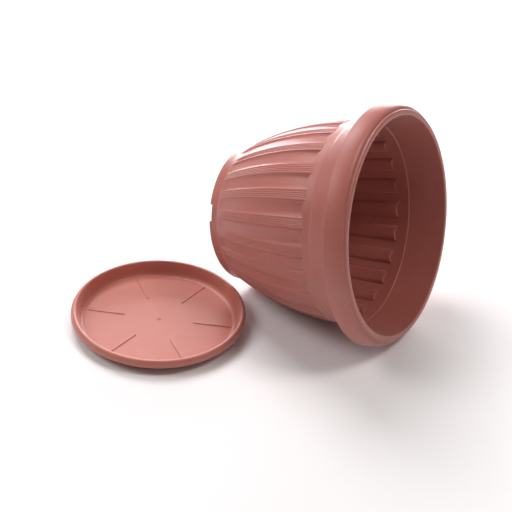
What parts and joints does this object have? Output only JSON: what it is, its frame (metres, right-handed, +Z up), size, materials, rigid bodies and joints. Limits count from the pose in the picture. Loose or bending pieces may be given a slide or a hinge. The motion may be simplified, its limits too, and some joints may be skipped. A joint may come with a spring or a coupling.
{
  "type": "planter pot with saucer",
  "caption": "Bell-shaped moulded plastic planter with a fluted body and turned-down rim, lying on its side beside its round ribbed drip saucer.",
  "frame": {"origin": "centre of the saucer's flat underside", "axes": "+Z up; +X is the level direction the lying pot's mouth faces; +Y runs from the saucer towards the pot"},
  "size_m": [0.3828, 0.4297, 0.2901],
  "materials": {
    "saucer_plastic": "satin moulded polypropylene, terracotta colour",
    "pot_plastic": "satin moulded polypropylene, terracotta colour"
  },
  "bodies": {
    "saucer": {"saucer": "saucer_plastic"},
    "pot": {"pot": "pot_plastic"}
  },
  "joints": [
    {"name": "pot_stands_up", "type": "hinge", "parent": "saucer", "child": "pot", "pos_m": [0.04895, 0.18845, 0.00491], "axis": [-0.2114, -0.9364, -0.28], "range_deg": [0, 77.7]}
  ]
}
